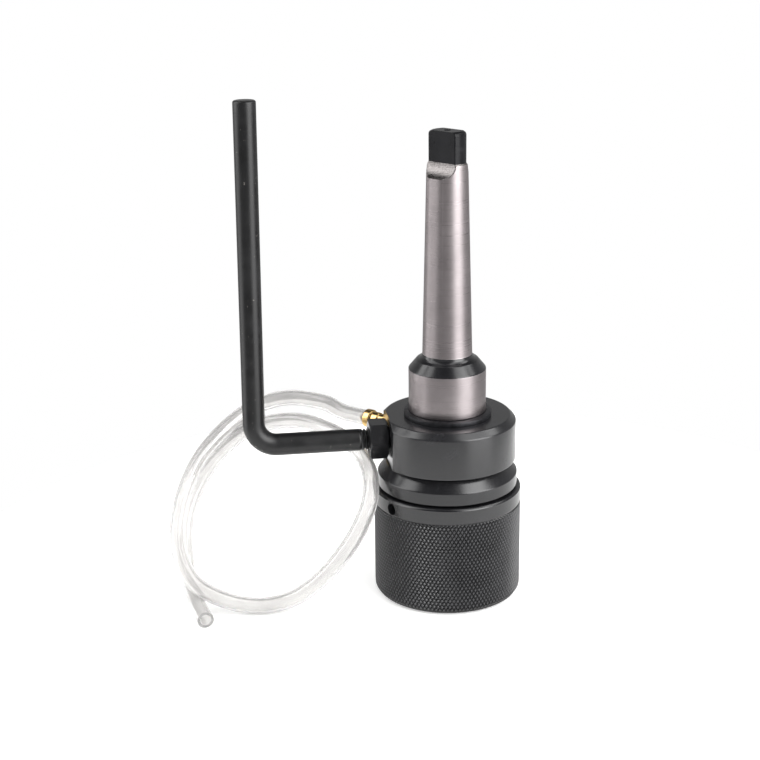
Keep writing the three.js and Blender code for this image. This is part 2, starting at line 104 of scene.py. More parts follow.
def colour(name, description, code):
    """A colour property whose default is an sRGB hex value."""
    return FloatVectorProperty(
        name=name,
        description=description,
        default=linear(code),
        subtype="COLOR",
        size=3,
        min=0,
        max=1,
    )


def length(name, description, millimetres):
    """A length property whose default is in millimetres."""
    return FloatProperty(
        name=name,
        description=description,
        default=millimetres * MM,
        min=0,
        unit="LENGTH",
        subtype="DISTANCE",
        precision=5,
    )


class ChuckSizes(bpy.types.PropertyGroup):
    """Sizes of the worked surfaces."""

    facets: IntProperty(
        name="Facets around",
        description="Facets around the larger turned parts",
        default=192,
        min=48,
    )
    knurl_around: IntProperty(
        name="Knurl diamonds around",
        description="Diamonds in one row around the release sleeve",
        default=116,
        min=24,
    )
    knurl_depth: length("Knurl depth", "Depth of the grooves between the diamonds", 0.42)
    broken_edge: length("Broken edge", "Size of the small radius on turned edges", 0.22)
    thread_pitch: length("Thread pitch", "Pitch of the torque arm's M8 thread", 1.25)
    thread_depth: length("Thread depth", "Depth of the torque arm's M8 thread", 0.68)
    hose_bore: length("Hose bore", "Inside diameter of the clear hose", 4.0)


class ChuckFinishes(bpy.types.PropertyGroup):
    """Colours of the finishes."""

    black_oxide: colour("Black oxide", "Hot black oxide on turned steel", "#161618")
    black_bar: colour("Black bar", "Black oxide on the drawn bar of the arm", "#101011")
    # Darker than bare ground steel: painted shade for the dark studio that the steel reflects.
    ground_steel: colour("Ground steel", "Cylindrically ground steel", "#989192")
    milled_steel: colour("Milled steel", "Steel left bright by the cutter", "#858180")
    spring_steel: colour("Spring steel", "Phosphated spring steel", "#2C2C2F")
    bearing_steel: colour("Bearing steel", "Polished chrome steel", "#C9C8C6")
    brass: colour("Brass", "Turned brass of the hose fitting", "#EBC684")
    rubber: colour("Nitrile rubber", "Seals", "#161616")
    nylon: colour("Nylon", "Thrust washer", "#2A2A2B")
    hose: colour("Clear PVC", "Tint of the hose", "#F4F3F2")
    floor: colour("Floor", "Pale studio floor", "#F2F2F1")


class ChuckLights(bpy.types.PropertyGroup):
    """Strength of the studio light."""

    left: FloatProperty(
        name="Left softbox",
        description="Power of the softbox on the left",
        default=5.0,
        min=0,
        unit="POWER",
    )
    right: FloatProperty(
        name="Right softbox",
        description="Power of the softbox on the right",
        default=10.0,
        min=0,
        unit="POWER",
    )
    far_right: FloatProperty(
        name="Far right softbox",
        description="Power of the small softbox high on the right",
        default=1.6,
        min=0,
        unit="POWER",
    )
    room: FloatProperty(
        name="Room",
        description="Strength of the white room around the stage",
        default=1.0,
        min=0,
    )


def sizes():
    return bpy.context.scene.chuck_sizes


def finishes():
    return bpy.context.scene.chuck_finishes


def lights():
    return bpy.context.scene.chuck_lights


# ---- Outlines and shells ------------------------------------------------------------------


def eased(outline, radius=None, steps=3):
    """The closed outline with its corners rounded, as a turner breaks each edge.

    A guard point on each side of a corner keeps the long faces beside it flat in shading.
    """
    radius = sizes().broken_edge / MM if radius is None else radius
    made = []
    for i, corner in enumerate(outline):
        here = Vector(corner)
        back = Vector(outline[i - 1]) - here
        ahead = Vector(outline[(i + 1) % len(outline)]) - here
        reach = min(radius, 0.45 * back.length, 0.45 * ahead.length)
        straight = back.angle(ahead, math.pi) > math.radians(172)
        if corner[0] < 1e-6 or reach < 0.01 or straight:
            made.append(tuple(here))
            continue
        start = here + back.normalized() * reach
        end = here + ahead.normalized() * reach
        guard = reach + 0.25
        if back.length > 2.2 * guard:
            made.append(tuple(here + back.normalized() * guard))
        for k in range(steps + 1):
            t = k / steps
            made.append(
                tuple(start * (1 - t) ** 2 + here * (2 * t * (1 - t)) + end * t**2)
            )
        if ahead.length > 2.2 * guard:
            made.append(tuple(here + ahead.normalized() * guard))
    return made


def with_rows(outline, low, high, step, least_r=0.5):
    """The closed outline with extra points along its outside between two heights."""
    made = []
    for i, (r0, z0) in enumerate(outline):
        made.append((r0, z0))
        r1, z1 = outline[(i + 1) % len(outline)]
        if min(r0, r1) < least_r or max(z0, z1) < low or min(z0, z1) > high:
            continue
        count = max(1, math.ceil(math.hypot(r1 - r0, z1 - z0) / step))
        for k in range(1, count):
            t = k / count
            z = z0 + (z1 - z0) * t
            if low <= z <= high:
                made.append((r0 + (r1 - r0) * t, z))
    return made


def even_angles(count):
    return [2 * math.pi * k / count for k in range(count)]


def turned(outline, angles=None, shape=None):
    """A closed outline of (radius, height) turned about Z: up the outside, down the inside.

    `shape` may change a point's radius by its height and angle, which makes flats and cams.
    """
    angles = angles or even_angles(sizes().facets)
    corners, rings = [], []
    for r, z in outline:
        if r < 1e-6:
            rings.append([len(corners)])
            corners.append((0.0, 0.0, z))
            continue
        rings.append(list(range(len(corners), len(corners) + len(angles))))
        for angle in angles:
            reach = shape(r, z, angle) if shape else r
            corners.append((reach * math.cos(angle), reach * math.sin(angle), z))
    faces = []
    for i, ring in enumerate(rings):
        faces += between(ring, rings[(i + 1) % len(rings)])
    return corners, faces


def between(low, high):
    """Faces from one ring of corners to the next, where a ring may be one corner."""
    if len(low) == 1 and len(high) == 1:
        return []
    count = max(len(low), len(high))
    faces = []
    for k in range(count):
        n = (k + 1) % count
        if len(low) == 1:
            faces.append((low[0], high[n], high[k]))
        elif len(high) == 1:
            faces.append((low[k], low[n], high[0]))
        else:
            faces.append((low[k], low[n], high[n], high[k]))
    return faces


def softer_least(a, b, blend):
    """The smaller of two numbers, with a rounded corner where they cross."""
    h = max(0.0, min(1.0, 0.5 + 0.5 * (b - a) / blend))
    return b * (1 - h) + a * h - blend * h * (1 - h)


def moved(shell, matrix):
    corners, faces = shell
    return [tuple(matrix @ Vector(c)) for c in corners], faces


def radial(shell, azimuth, height):
    """A shell turned about Z, laid over so that its axis points out at an azimuth."""
    lay = Matrix.Rotation(math.radians(90), 4, "Y")
    turn = Matrix.Rotation(math.radians(azimuth), 4, "Z")
    return moved(shell, Matrix.Translation((0, 0, height)) @ turn @ lay)


def joined(*shells):
    corners, faces = [], []
    for some_corners, some_faces in shells:
        start = len(corners)
        corners += some_corners
        faces += [tuple(start + i for i in f) for f in some_faces]
    return corners, faces


def upright(outline, bottom, top):
    """A flat outline of (x, y), counter-clockwise, raised from one height to another."""
    n = len(outline)
    corners = [(x, y, bottom) for x, y in outline] + [(x, y, top) for x, y in outline]
    faces = [tuple(range(n))[::-1], tuple(range(n, 2 * n))]
    faces += [(k, (k + 1) % n, n + (k + 1) % n, n + k) for k in range(n)]
    return corners, faces


def arc(radius, start, end, steps):
    """Points (x, y) along an arc, its angles in degrees."""
    turns = [math.radians(start + (end - start) * k / steps) for k in range(steps + 1)]
    return [(radius * math.cos(a), radius * math.sin(a)) for a in turns]


def swept(points, sides, radius, bore=None):
    """A round bar along points, or a tube with a bore. `radius` takes (distance, angle)."""
    points = [Vector(p) for p in points]
    corners, rings, inner = [], [], []
    tangent = (points[1] - points[0]).normalized()
    side = tangent.orthogonal().normalized()
    distance = 0.0
    for i, point in enumerate(points):
        ahead = points[min(i + 1, len(points) - 1)] - points[max(i - 1, 0)]
        new_tangent = ahead.normalized()
        side = tangent.rotation_difference(new_tangent) @ side
        tangent = new_tangent
        other = tangent.cross(side)
        if i:
            distance += (point - points[i - 1]).length
        for ring_list, reach in ((rings, radius), (inner, bore)):
            if reach is None:
                continue
            ring_list.append(list(range(len(corners), len(corners) + sides)))
            for angle in even_angles(sides):
                r = reach(distance, angle)
                across = side * (r * math.cos(angle)) + other * (r * math.sin(angle))
                corners.append(tuple(point + across))
    faces = []
    for low, high in zip(rings, rings[1:]):
        faces += between(low, high)
    if inner:
        for low, high in zip(inner, inner[1:]):
            faces += [f[::-1] for f in between(low, high)]
        faces += [f[::-1] for f in between(rings[0], inner[0])]
        faces += between(rings[-1], inner[-1])
    else:
        faces += [tuple(rings[0])[::-1], tuple(rings[-1])]
    return corners, faces


def smooth_route(knots, per_span):
    """Points on a smooth curve through knots, spaced so that close knots don't overshoot."""
    knots = [Vector(k) for k in knots]
    ends = [knots[0] * 2 - knots[1], *knots, knots[-1] * 2 - knots[-2]]
    points = []
    for p0, p1, p2, p3 in zip(ends, ends[1:], ends[2:], ends[3:]):
        gaps = [math.sqrt((b - a).length) for a, b in ((p0, p1), (p1, p2), (p2, p3))]
        d0, d1, d2 = gaps
        t1 = ((p1 - p0) / d0 - (p2 - p0) / (d0 + d1) + (p2 - p1) / d1) * d1
        t2 = ((p2 - p1) / d1 - (p3 - p1) / (d1 + d2) + (p3 - p2) / d2) * d1
        for k in range(per_span):
            t = k / per_span
            points.append(
                p1 * (2 * t**3 - 3 * t**2 + 1)
                + t1 * (t**3 - 2 * t**2 + t)
                + p2 * (-2 * t**3 + 3 * t**2)
                + t2 * (t**3 - t**2)
            )
    return [*points, knots[-1]]


# ---- Objects ------------------------------------------------------------------------------


def new_object(name, shell):
    """A mesh object from a shell, in metres and in the frame's own place."""
    corners, faces = shell
    mesh = bpy.data.meshes.new(name)
    metres = [((x + AXIS_X) * MM, y * MM, z * MM) for x, y, z in corners]
    mesh.from_pydata(metres, [], faces)
    mesh.update()
    obj = bpy.data.objects.new(name, mesh)
    bpy.context.scene.collection.objects.link(obj)
    return obj


def settle(obj):
    """Replaces an object's mesh by what its modifiers make of it."""
    evaluated = obj.evaluated_get(bpy.context.evaluated_depsgraph_get())
    mesh = bpy.data.meshes.new_from_object(evaluated)
    obj.modifiers.clear()
    old = obj.data
    obj.data = mesh
    bpy.data.meshes.remove(old)


def combine(obj, shell, operation):
    """Takes a shell's room out of an object, as a cutter does, or adds it."""
    other = new_object("other", shell)
    modifier = obj.modifiers.new("combine", "BOOLEAN")
    modifier.operation = operation
    modifier.solver = "EXACT"
    modifier.object = other
    settle(obj)
    bpy.data.meshes.remove(other.data)


def ease_edges(obj, size):
    """Breaks the sharp edges of a flat stamping."""
    modifier = obj.modifiers.new("edges", "BEVEL")
    modifier.width = size * MM
    modifier.segments = 2
    modifier.limit_method = "ANGLE"
    modifier.angle_limit = math.radians(40)
    settle(obj)


def finish_piece(obj, body, nodes, materials, choose=None, sharp=38):
    """Shades an object, gives it its finishes and lets it ride on its body."""
    mesh = obj.data
    for material in materials:
        mesh.materials.append(material)
    mesh.shade_smooth()
    mesh.set_sharp_from_angle(angle=math.radians(sharp))
    if choose:
        for polygon in mesh.polygons:
            c = polygon.center / MM
            reach = math.hypot(c.x - AXIS_X, c.y)
            polygon.material_index = choose(reach, c.z, polygon.normal)
    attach(obj, body)
    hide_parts(*nodes)
    return obj


# ---- Finishes -----------------------------------------------------------------------------


def add(tree, kind, inputs=None, **settings):
    """Adds one node with its settings, its values and its links."""
    node = tree.nodes.new(kind)
    for name, value in settings.items():
        setattr(node, name, value)
    for socket, value in (inputs or {}).items():
        if isinstance(value, bpy.types.NodeSocket):
            tree.links.new(value, node.inputs[socket])
        else:
            node.inputs[socket].default_value = value
    return node


def rgba(rgb, share=1.0):
    return (*(c * share for c in rgb), 1.0)


def new_material(name):
    """An empty material and its node tree."""
    material = bpy.data.materials.new(name)
    material.use_nodes = True
    material.node_tree.nodes.clear()
    return material, material.node_tree


def principled(tree, **inputs):
    """A Principled surface on the tree's output."""
    named = {
        key.replace("_", " ").title().replace("Ior", "IOR"): value
        for key, value in inputs.items()
    }
    shader = add(tree, "ShaderNodeBsdfPrincipled", named)
    add(tree, "ShaderNodeOutputMaterial", {"Surface": shader.outputs[0]})
    return shader


def about_axis(tree):
    """Distance from the chuck's axis and height, as sockets, in metres."""
    place = add(tree, "ShaderNodeTexCoord").outputs["Object"]
    centred = add(
        tree,
        "ShaderNodeVectorMath",
        {0: place, 1: (-AXIS_X * MM, 0, 0)},
        operation="ADD",
    ).outputs[0]
    flat = add(
        tree,
        "ShaderNodeVectorMath",
        {0: centred, 1: (1, 1, 0)},
        operation="MULTIPLY",
    ).outputs[0]
    reach = add(
        tree, "ShaderNodeVectorMath", {0: flat}, operation="LENGTH"
    ).outputs["Value"]
    height = add(tree, "ShaderNodeSeparateXYZ", {0: place}).outputs["Z"]
    return place, reach, height


def turning_marks(tree, spacing):
    """A grey pattern of fine rings about the axis, their spacing in millimetres."""
    place, reach, height = about_axis(tree)
    rings = add(
        tree, "ShaderNodeCombineXYZ", {"X": reach, "Y": 0.0, "Z": height}
    ).outputs[0]
    marks = add(
        tree,
        "ShaderNodeTexNoise",
        {"Vector": rings, "Scale": 1 / (spacing * MM), "Detail": 3.0},
    ).outputs["Fac"]
    return place, reach, height, marks


def spread(tree, value, low, high, from_low=0.3, from_high=0.7):
    """A grey pattern stretched to run from one number to another."""
    return add(
        tree,
        "ShaderNodeMapRange",
        {
            "Value": value,
            "From Min": from_low,
            "From Max": from_high,
            "To Min": low,
            "To Max": high,
        },
    ).outputs[0]


def mixed(tree, factor, a, b):
    """A colour between two, by a grey pattern. A colour is a socket or linear RGB."""
    node = tree.nodes.new("ShaderNodeMix")
    node.data_type = "RGBA"
    tree.links.new(factor, node.inputs[0])
    for socket, value in ((node.inputs[6], a), (node.inputs[7], b)):
        if isinstance(value, bpy.types.NodeSocket):
            tree.links.new(value, socket)
        else:
            socket.default_value = rgba(value)
    return node.outputs[2]


def shade(rgb, share):
    return tuple(min(1.0, c * share) for c in rgb)


def noise(tree, place, size, detail=4.0, **more):
    """A grey noise whose blobs are about `size` millimetres across."""
    return add(
        tree,
        "ShaderNodeTexNoise",
        {"Vector": place, "Scale": 1 / (size * MM), "Detail": detail, **more},
    ).outputs["Fac"]


def bump(tree, height, depth):
    """A bump whose full height is `depth` millimetres."""
    return add(
        tree,
        "ShaderNodeBump",
        {"Height": height, "Distance": depth * MM, "Strength": 1.0},
    ).outputs[0]


def axis_tangent(tree):
    return add(
        tree, "ShaderNodeTangent", direction_type="RADIAL", axis="Z"
    ).outputs[0]


def ground_steel():
    """Alloy steel, cylindrically ground: a warm grey metal, set darker than bare steel as
    painted shade for the dark studio that it reflects. The wheel's fine marks run around it, so
    that lights draw out into soft upright streaks."""
    material, tree = new_material("cylindrically ground alloy steel")
    # This colour is darker than bare steel, as painted shade for the dark studio the steel
    # reflects.
    rgb = finishes().ground_steel
    # Real marks are 10 to 30 microns apart; 0.35 mm is as fine as shows.
    place, _, _, marks = turning_marks(tree, 0.35)
    stain = noise(tree, place, 9.0, 3.0)
    tone = mixed(tree, spread(tree, stain, 0, 1), shade(rgb, 0.84), rgb)
    tone = mixed(tree, spread(tree, marks, 0, 0.08), tone, shade(rgb, 0.62))
    principled(
        tree,
        base_color=tone,
        metallic=1.0,
        roughness=spread(tree, marks, 0.26, 0.34),
        anisotropic=0.8,
        anisotropic_rotation=0.0,
        tangent=axis_tangent(tree),
        normal=bump(tree, marks, 0.0008),
    )
    return material


def milled_steel():
    """Steel under a milling cutter's run-out: bright, dull-grained, with short arcs."""
    material, tree = new_material("milled alloy steel")
    rgb = finishes().milled_steel
    place = add(tree, "ShaderNodeTexCoord").outputs["Object"]
    # Feed marks of the cutter, 0.5 mm apart.
    marks = add(
        tree,
        "ShaderNodeTexWave",
        {"Vector": place, "Scale": 0.32 / (0.5 * MM), "Distortion": 2.5, "Detail": 2.0},
        bands_direction="DIAGONAL",
    ).outputs["Fac"]
    grain = noise(tree, place, 0.6)
    tone = mixed(tree, spread(tree, grain, 0, 1), shade(rgb, 0.45), rgb)
    principled(
        tree,
        base_color=tone,
        metallic=1.0,
        roughness=spread(tree, grain, 0.24, 0.4),
        normal=bump(tree, marks, 0.02),
    )
    return material


def black_oxide(name, rough, gloss):
    """Hot black oxide over turned steel, oiled: near black with a satin sheen, faint rings
    from the tool, and patches that handling has rubbed a little greyer."""
    material, tree = new_material(name)
    rgb = finishes().black_oxide
    # Tool marks 0.5 mm apart.
    place, _, _, marks = turning_marks(tree, 0.5)
    cloud = noise(tree, place, 7.0, 4.0)
    tone = mixed(tree, spread(tree, cloud, 0, 1), shade(rgb, 0.75), shade(rgb, 1.35))
    tone = mixed(tree, spread(tree, marks, 0, 0.3), tone, shade(rgb, 1.6))
    rubbed = spread(tree, noise(tree, place, 3.5, 5.0), 0, 0.5, 0.6, 0.75)
    tone = mixed(tree, rubbed, tone, shade(rgb, 2.6))
    principled(
        tree,
        base_color=tone,
        metallic=0.0,
        ior=gloss,
        roughness=spread(tree, cloud, rough * 0.85, rough * 1.15),
        normal=bump(tree, marks, 0.003),
    )
    return material


def knurled_oxide():
    """Black oxide over a cut knurl: the flats of the diamonds are rubbed grey, and the
    grooves stay black and hold oil."""
    material, tree = new_material("black oxide over cut knurl")
    rgb = finishes().black_oxide
    depth = sizes().knurl_depth
    place, reach, _ = about_axis(tree)
    top = SLEEVE_R * MM
    rise = spread(tree, reach, 0, 1, top - depth * 0.95, top - 0.02 * MM)
    cloud = noise(tree, place, 8.0, 5.0)
    worn = mixed(tree, spread(tree, cloud, 0, 1), shade(rgb, 1.5), shade(rgb, 3.0))
    tone = mixed(tree, rise, shade(rgb, 0.45), worn)
    principled(
        tree,
        base_color=tone,
        metallic=0.0,
        ior=1.58,
        roughness=spread(tree, cloud, 0.36, 0.5),
        normal=bump(tree, noise(tree, place, 0.35), 0.006),
    )
    return material


def drawn_bar_oxide():
    """Black oxide over drawn bar: a duller black with faint lengthways lines, small rubbed
    specks and a thin film of oil."""
    material, tree = new_material("black oxide over drawn bar")
    rgb = finishes().black_bar
    place = add(tree, "ShaderNodeTexCoord").outputs["Object"]
    cloud = noise(tree, place, 6.0, 5.0)
    grain = noise(tree, place, 0.5, 3.0)
    speck = noise(tree, place, 1.1, 3.0)
    tone = mixed(tree, spread(tree, cloud, 0, 1), shade(rgb, 0.7), shade(rgb, 1.6))
    fleck = spread(tree, speck, 0, 1, 0.7, 0.78)
    tone = mixed(tree, fleck, tone, linear("#6E6A66"))
    principled(
        tree,
        base_color=tone,
        metallic=0.0,
        ior=1.42,
        roughness=spread(tree, cloud, 0.28, 0.42),
        normal=bump(tree, grain, 0.008),
    )
    return material


def spring_steel():
    """Phosphated spring steel: dark grey, dull, slightly mottled."""
    material, tree = new_material("phosphated spring steel")
    rgb = finishes().spring_steel
    place = add(tree, "ShaderNodeTexCoord").outputs["Object"]
    mottle = noise(tree, place, 1.2, 4.0)
    principled(
        tree,
        base_color=mixed(tree, spread(tree, mottle, 0, 1), shade(rgb, 0.7), shade(rgb, 1.4)),
        metallic=0.7,
        roughness=spread(tree, mottle, 0.32, 0.48),
        normal=bump(tree, mottle, 0.004),
    )
    return material


def bearing_steel():
    """Lapped chrome steel: a bright mirror with the faintest haze."""
    material, tree = new_material("lapped bearing steel")
    rgb = finishes().bearing_steel
    place = add(tree, "ShaderNodeTexCoord").outputs["Object"]
    haze = noise(tree, place, 1.5, 4.0)
    principled(
        tree,
        base_color=mixed(tree, spread(tree, haze, 0, 1), shade(rgb, 0.9), rgb),
        metallic=1.0,
        roughness=spread(tree, haze, 0.06, 0.14),
    )
    return material


def turned_brass():
    """Free-cutting brass, turned: a warm yellow metal with crisp tool marks and a few
    browner patches."""
    material, tree = new_material("turned brass")
    rgb = finishes().brass
    place = add(tree, "ShaderNodeTexCoord").outputs["Object"]
    patch = noise(tree, place, 2.0, 4.0)
    # Tool marks 0.25 mm apart.
    marks = noise(tree, place, 0.25, 2.0)
    tone = mixed(tree, spread(tree, patch, 0, 1), shade(rgb, 0.7), rgb)
    principled(
        tree,
        base_color=tone,
        metallic=1.0,
        roughness=spread(tree, patch, 0.14, 0.26),
        normal=bump(tree, marks, 0.003),
    )
    return material


def nitrile_rubber():
    """Moulded nitrile rubber: matt black with a fine bloom."""
    material, tree = new_material("moulded nitrile rubber")
    rgb = finishes().rubber
    place = add(tree, "ShaderNodeTexCoord").outputs["Object"]
    bloom = noise(tree, place, 0.8, 4.0)
    principled(
        tree,
        base_color=mixed(tree, spread(tree, bloom, 0, 1), rgb, shade(rgb, 2.0)),
        roughness=spread(tree, bloom, 0.6, 0.8),
        ior=1.52,
        normal=bump(tree, bloom, 0.01),
    )
    return material


def black_nylon():
    """Machined black nylon: dark, waxy and even, with light tool rings."""
    material, tree = new_material("machined black nylon")
    rgb = finishes().nylon
    _, _, _, marks = turning_marks(tree, 0.4)
    principled(
        tree,
        base_color=mixed(tree, spread(tree, marks, 0, 1), rgb, shade(rgb, 1.5)),
        roughness=spread(tree, marks, 0.45, 0.6),
        ior=1.53,
        normal=bump(tree, marks, 0.006),
    )
    return material


def clear_pvc():
    """Extruded clear PVC: glass-like with a soft gloss, faint draw lines, and a slight haze
    that greys the walls where the eye looks along them."""
    material, tree = new_material("extruded clear PVC")
    rgb = finishes().hose
    place = add(tree, "ShaderNodeTexCoord").outputs["Object"]
    haze = noise(tree, place, 5.0, 3.0)
    principled(
        tree,
        base_color=mixed(tree, spread(tree, haze, 0, 1), shade(rgb, 0.93), rgb),
        transmission_weight=0.82,
        ior=1.46,
        roughness=spread(tree, haze, 0.05, 0.12),
        normal=bump(tree, noise(tree, place, 2.5, 2.0), 0.01),
    )
    return material


# ---- Hose ---------------------------------------------------------------------------------

HOSE_R = 3.0
HOSE_ROUTE = [
    (-27, 23.5, 60), (-31.2, 27.1, 60), (-35.5, 30.9, 60.4), (-40.6, 35.4, 62.4),
    (-46.9, 39.6, 63), (-54.3, 42.2, 63.2), (-62.8, 41.7, 62.2), (-72, 38.5, 59.3),
    (-80.6, 33.3, 54.5), (-88.7, 27.1, 48), (-94.7, 20.3, 40), (-98.5, 13.4, 31),
    (-100, 6.5, 22.8), (-98.4, -1.6, 15.6), (-94.3, -7.3, 10.5), (-88.2, -11.1, 7.3),
    (-79.3, -13.3, 4.3), (-69.3, -14, 3.1), (-58.8, -14.8, 5.7), (-49.4, -16, 12.7),
    (-41.4, -16.4, 21.8), (-34.7, -15, 31.5), (-30.2, -11.4, 41), (-29.2, -4, 47.5),
    (-30.8, 5, 51.3), (-35.3, 15.2, 54.4), (-42.9, 24.5, 56.5), (-52.2, 31.8, 57.3),
    (-62.5, 36.2, 55.6), (-73, 37.8, 51.5), (-82, 36.8, 44.5), (-89.3, 34.1, 35.9),
    (-94.6, 29.8, 26.1), (-96.8, 23.4, 17.1), (-96.9, 16.1, 9.5), (-96.2, 7.8, 4.6),
    (-94.9, -2, 3.1), (-93.3, -12.2, 3.1), (-91.3, -22.3, 3.1),
]


class CHUCK_OT_hose(bpy.types.Operator):
    """Make the clear coolant hose, from the fitting to its cut end"""

    bl_idname = "chuck.hose"
    bl_label = "Coolant hose"

    def execute(self, context):
        bore = sizes().hose_bore / 2 / MM
        lowest = HOSE_R + 0.02
        route = [Vector((p.x, p.y, max(p.z, lowest))) for p in smooth_route(HOSE_ROUTE, 8)]
        shell = swept(route, 32, lambda s, a: HOSE_R, lambda s, a: bore)
        hose = new_object("coolant_hose_fine", shell)
        finish_piece(
            hose, "coolant_ring", ["coolant_hose"], [clear_pvc()], sharp=60
        )
        return {"FINISHED"}


# ---- Arbor --------------------------------------------------------------------------------

TANG_TOP = 171.5
TANG_HALF = 3.15
TANG_FLAT_BOTTOM = 160.8
TANG_RUNOUT_R = 5.6
TANG_AZIMUTH = math.radians(-140)
TAPER_BASE_Z = 91.5
TAPER_BASE_R = 9.0
TAPER_PER_MM = 1 / 40.05  # radius lost for each millimetre of height, a taper of 1 in 20.02
TAPER_TOP_Z = 159.9
TANG_R = 6.75
JOURNAL_TOP_Z = 85.9
TAPER_FOOT_Z = 91.45
ARBOR_OUTLINE = [
    (10.37, 0), (15.2, 0), (16, 0.8), (16, 1.5), (15.15, 1.5), (15.15, 3.1), (16, 3.1),
    (16, 34.2), (20, 34.2), (20, 41.7), (25.1, 41.7), (25.6, 42.2), (25.6, 46.7),
    (22.5, 50.5), (14, 50.5), (14, 68.52), (13.3, 68.52), (13.3, 70.12), (14, 70.12),
    (14, 85.9), (11.2, 89.3), (10.1, 89.8), (9.35, 90.5), (9, 91.5),
    (7.292, 159.9), (6.75, 160.5), (6.75, 170.3), (6.45, 171), (5.6, 171.5),
    (1.3, 171.5), (0, 170.5), (0, 83.5), (6, 81), (6, 44), (7.5, 44), (7.5, 37.8),
    (8.1, 37.8), (8.1, 36.5), (7.5, 36.5), (7.5, 36), (9.57, 36), (9.57, 0.8),
]
SCREW_Z = 37.8
SCREW_AZIMUTHS = {"front": -148, "rear": 32}
BALL_Z = 12.5
BALL_R = 4.0
BALL_CENTRE_R = 12.25
BALL_AZIMUTHS = {"front": -90, "side": 0}
TWIST = 35
PORT_Z = 60.0


def tang_flats(r, z, angle):
    """The radius of the shank at a height and angle, inside the tang's two milled flats."""
    below = TANG_FLAT_BOTTOM - z
    if r < 0.5 or z < 80 or below >= TANG_RUNOUT_R:
        return r
    half = TANG_HALF
    if below > 0:
        half += TANG_RUNOUT_R - math.sqrt(TANG_RUNOUT_R**2 - below**2)
    across = abs(math.cos(angle - TANG_AZIMUTH))
    if across * r < half - 0.5:
        return r
    return softer_least(r, half / across, 0.3)


def arbor_cutters():
    """The ball pockets, the guide screws' slots and the coolant ports."""
    cutters = []
    pocket = [(0, 7), (3.55, 7), (3.55, 10.1), (4.15, 10.1), (4.15, 17.5), (0, 17.5)]
    port = [(0, 5), (2.5, 5), (2.5, 15.5), (0, 15.5)]
    for azimuth in BALL_AZIMUTHS.values():
        cutters.append(radial(turned(pocket, even_angles(48)), azimuth, BALL_Z))
    for azimuth in (0, 90, 180, 270):
        cutters.append(radial(turned(port, even_angles(24)), azimuth, PORT_Z))
    for azimuth in SCREW_AZIMUTHS.values():
        low, high = azimuth - 9, azimuth + TWIST + 9
        plan = [*arc(21, low, high, 16), *arc(18.3, high, low, 16)]
        cutters.append(upright(plan, SCREW_Z - 1.9, SCREW_Z + 1.9))
    return joined(*cutters)


def arbor_finish(reach, z, normal):
    """Which finish a face of the arbor has: 0 ground, 1 black, 2 milled, 3 the tang's black."""
    if z > TAPER_TOP_Z - 5:
        turned_r = TAPER_BASE_R - (z - TAPER_BASE_Z) * TAPER_PER_MM
        if z > TAPER_TOP_Z + 0.6:
            turned_r = min(turned_r, TANG_R)
        milled = reach < turned_r - 0.08
        if milled and z < TANG_FLAT_BOTTOM - 0.1 and 0.05 < normal.z < 0.99:
            return 2
        return 3 if z > TAPER_TOP_Z + 0.25 else 0
    if JOURNAL_TOP_Z - 0.05 < z < TAPER_FOOT_Z:
        return 1
    if reach > 14.2 or z < 1 and reach > 10:
        return 1
    return 0


class CHUCK_OT_arbor(bpy.types.Operator):
    """Turn, mill and drill the arbor, from its nose to the tang"""

    bl_idname = "chuck.arbor"
    bl_label = "Arbor"

    def execute(self, context):
        outline = eased(ARBOR_OUTLINE)
        outline = with_rows(outline, 155.4, TANG_TOP + 1, 0.22)
        arbor = new_object(
            "arbor_body_fine", turned(outline, even_angles(240), tang_flats)
        )
        combine(arbor, arbor_cutters(), "DIFFERENCE")
        finish_piece(
            arbor,
            "arbor",
            ["arbor_body"],
            [
                ground_steel(),
                black_oxide("black oxide over turned steel", 0.22, 1.5),
                milled_steel(),
                black_oxide("black oxide over forged tang", 0.3, 1.22),
            ],
            choose=arbor_finish,
        )
        return {"FINISHED"}


# ---- Retaining rings ----------------------------------------------------------------------


def retaining_ring(bottom, top, inner, outer, lug, azimuth):
    """The plan of an external retaining ring: a rim that narrows towards its two lugs."""
    gap = 14
    shift = (outer - inner) * 0.22
    rim = [(x - shift, y) for x, y in arc(outer - shift, gap, 360 - gap, 96)]
    plan = [*rim, *arc(inner, 360 - gap, gap, 96)]
    lugs, holes = [], []
    for side in (-1, 1):
        x, y = arc(inner + lug / 2 + 0.2, side * (gap + 4), 0, 1)[0]
        place = Matrix.Translation((x, y, 0))
        round_lug = [(0, bottom), (lug / 2, bottom), (lug / 2, top), (0, top)]
        hole = [(0, bottom - 1), (lug / 5, bottom - 1), (lug / 5, top + 1), (0, top + 1)]
        lugs.append(moved(turned(eased(round_lug, 0.1), even_angles(32)), place))
        holes.append(moved(turned(hole, even_angles(20)), place))
    turn = Matrix.Rotation(math.radians(azimuth), 4, "Z")
    return [moved(s, turn) for s in (upright(plan, bottom, top), joined(*lugs), joined(*holes))]


class CHUCK_OT_retaining_rings(bpy.types.Operator):
    """Stamp the retaining rings on the journal, on the nose and under the valve seat"""

    bl_idname = "chuck.retaining_rings"
    bl_label = "Retaining rings"

    def execute(self, context):
        steel = spring_steel()
        for name, facts in {
            "journal_circlip": (68.57, 70.07, 13.35, 16.6, 3.4, 90),
            "nose_circlip": (1.55, 3.05, 15.2, 18.8, 3.6, 90),
        }.items():
            ring, lugs, holes = retaining_ring(*facts)
            obj = new_object(f"{name}_fine", ring)
            combine(obj, lugs, "UNION")
            combine(obj, holes, "DIFFERENCE")
            ease_edges(obj, 0.1)
            finish_piece(obj, "arbor", [name], [steel])
        plan = [*arc(8.02, 105, 435, 72), *arc(5.6, 435, 105, 72)]
        seat_ring = new_object("seat_circlip_fine", upright(plan, 36.55, 37.75))
        ease_edges(seat_ring, 0.1)
        finish_piece(seat_ring, "arbor", ["seat_circlip"], [steel])
        return {"FINISHED"}


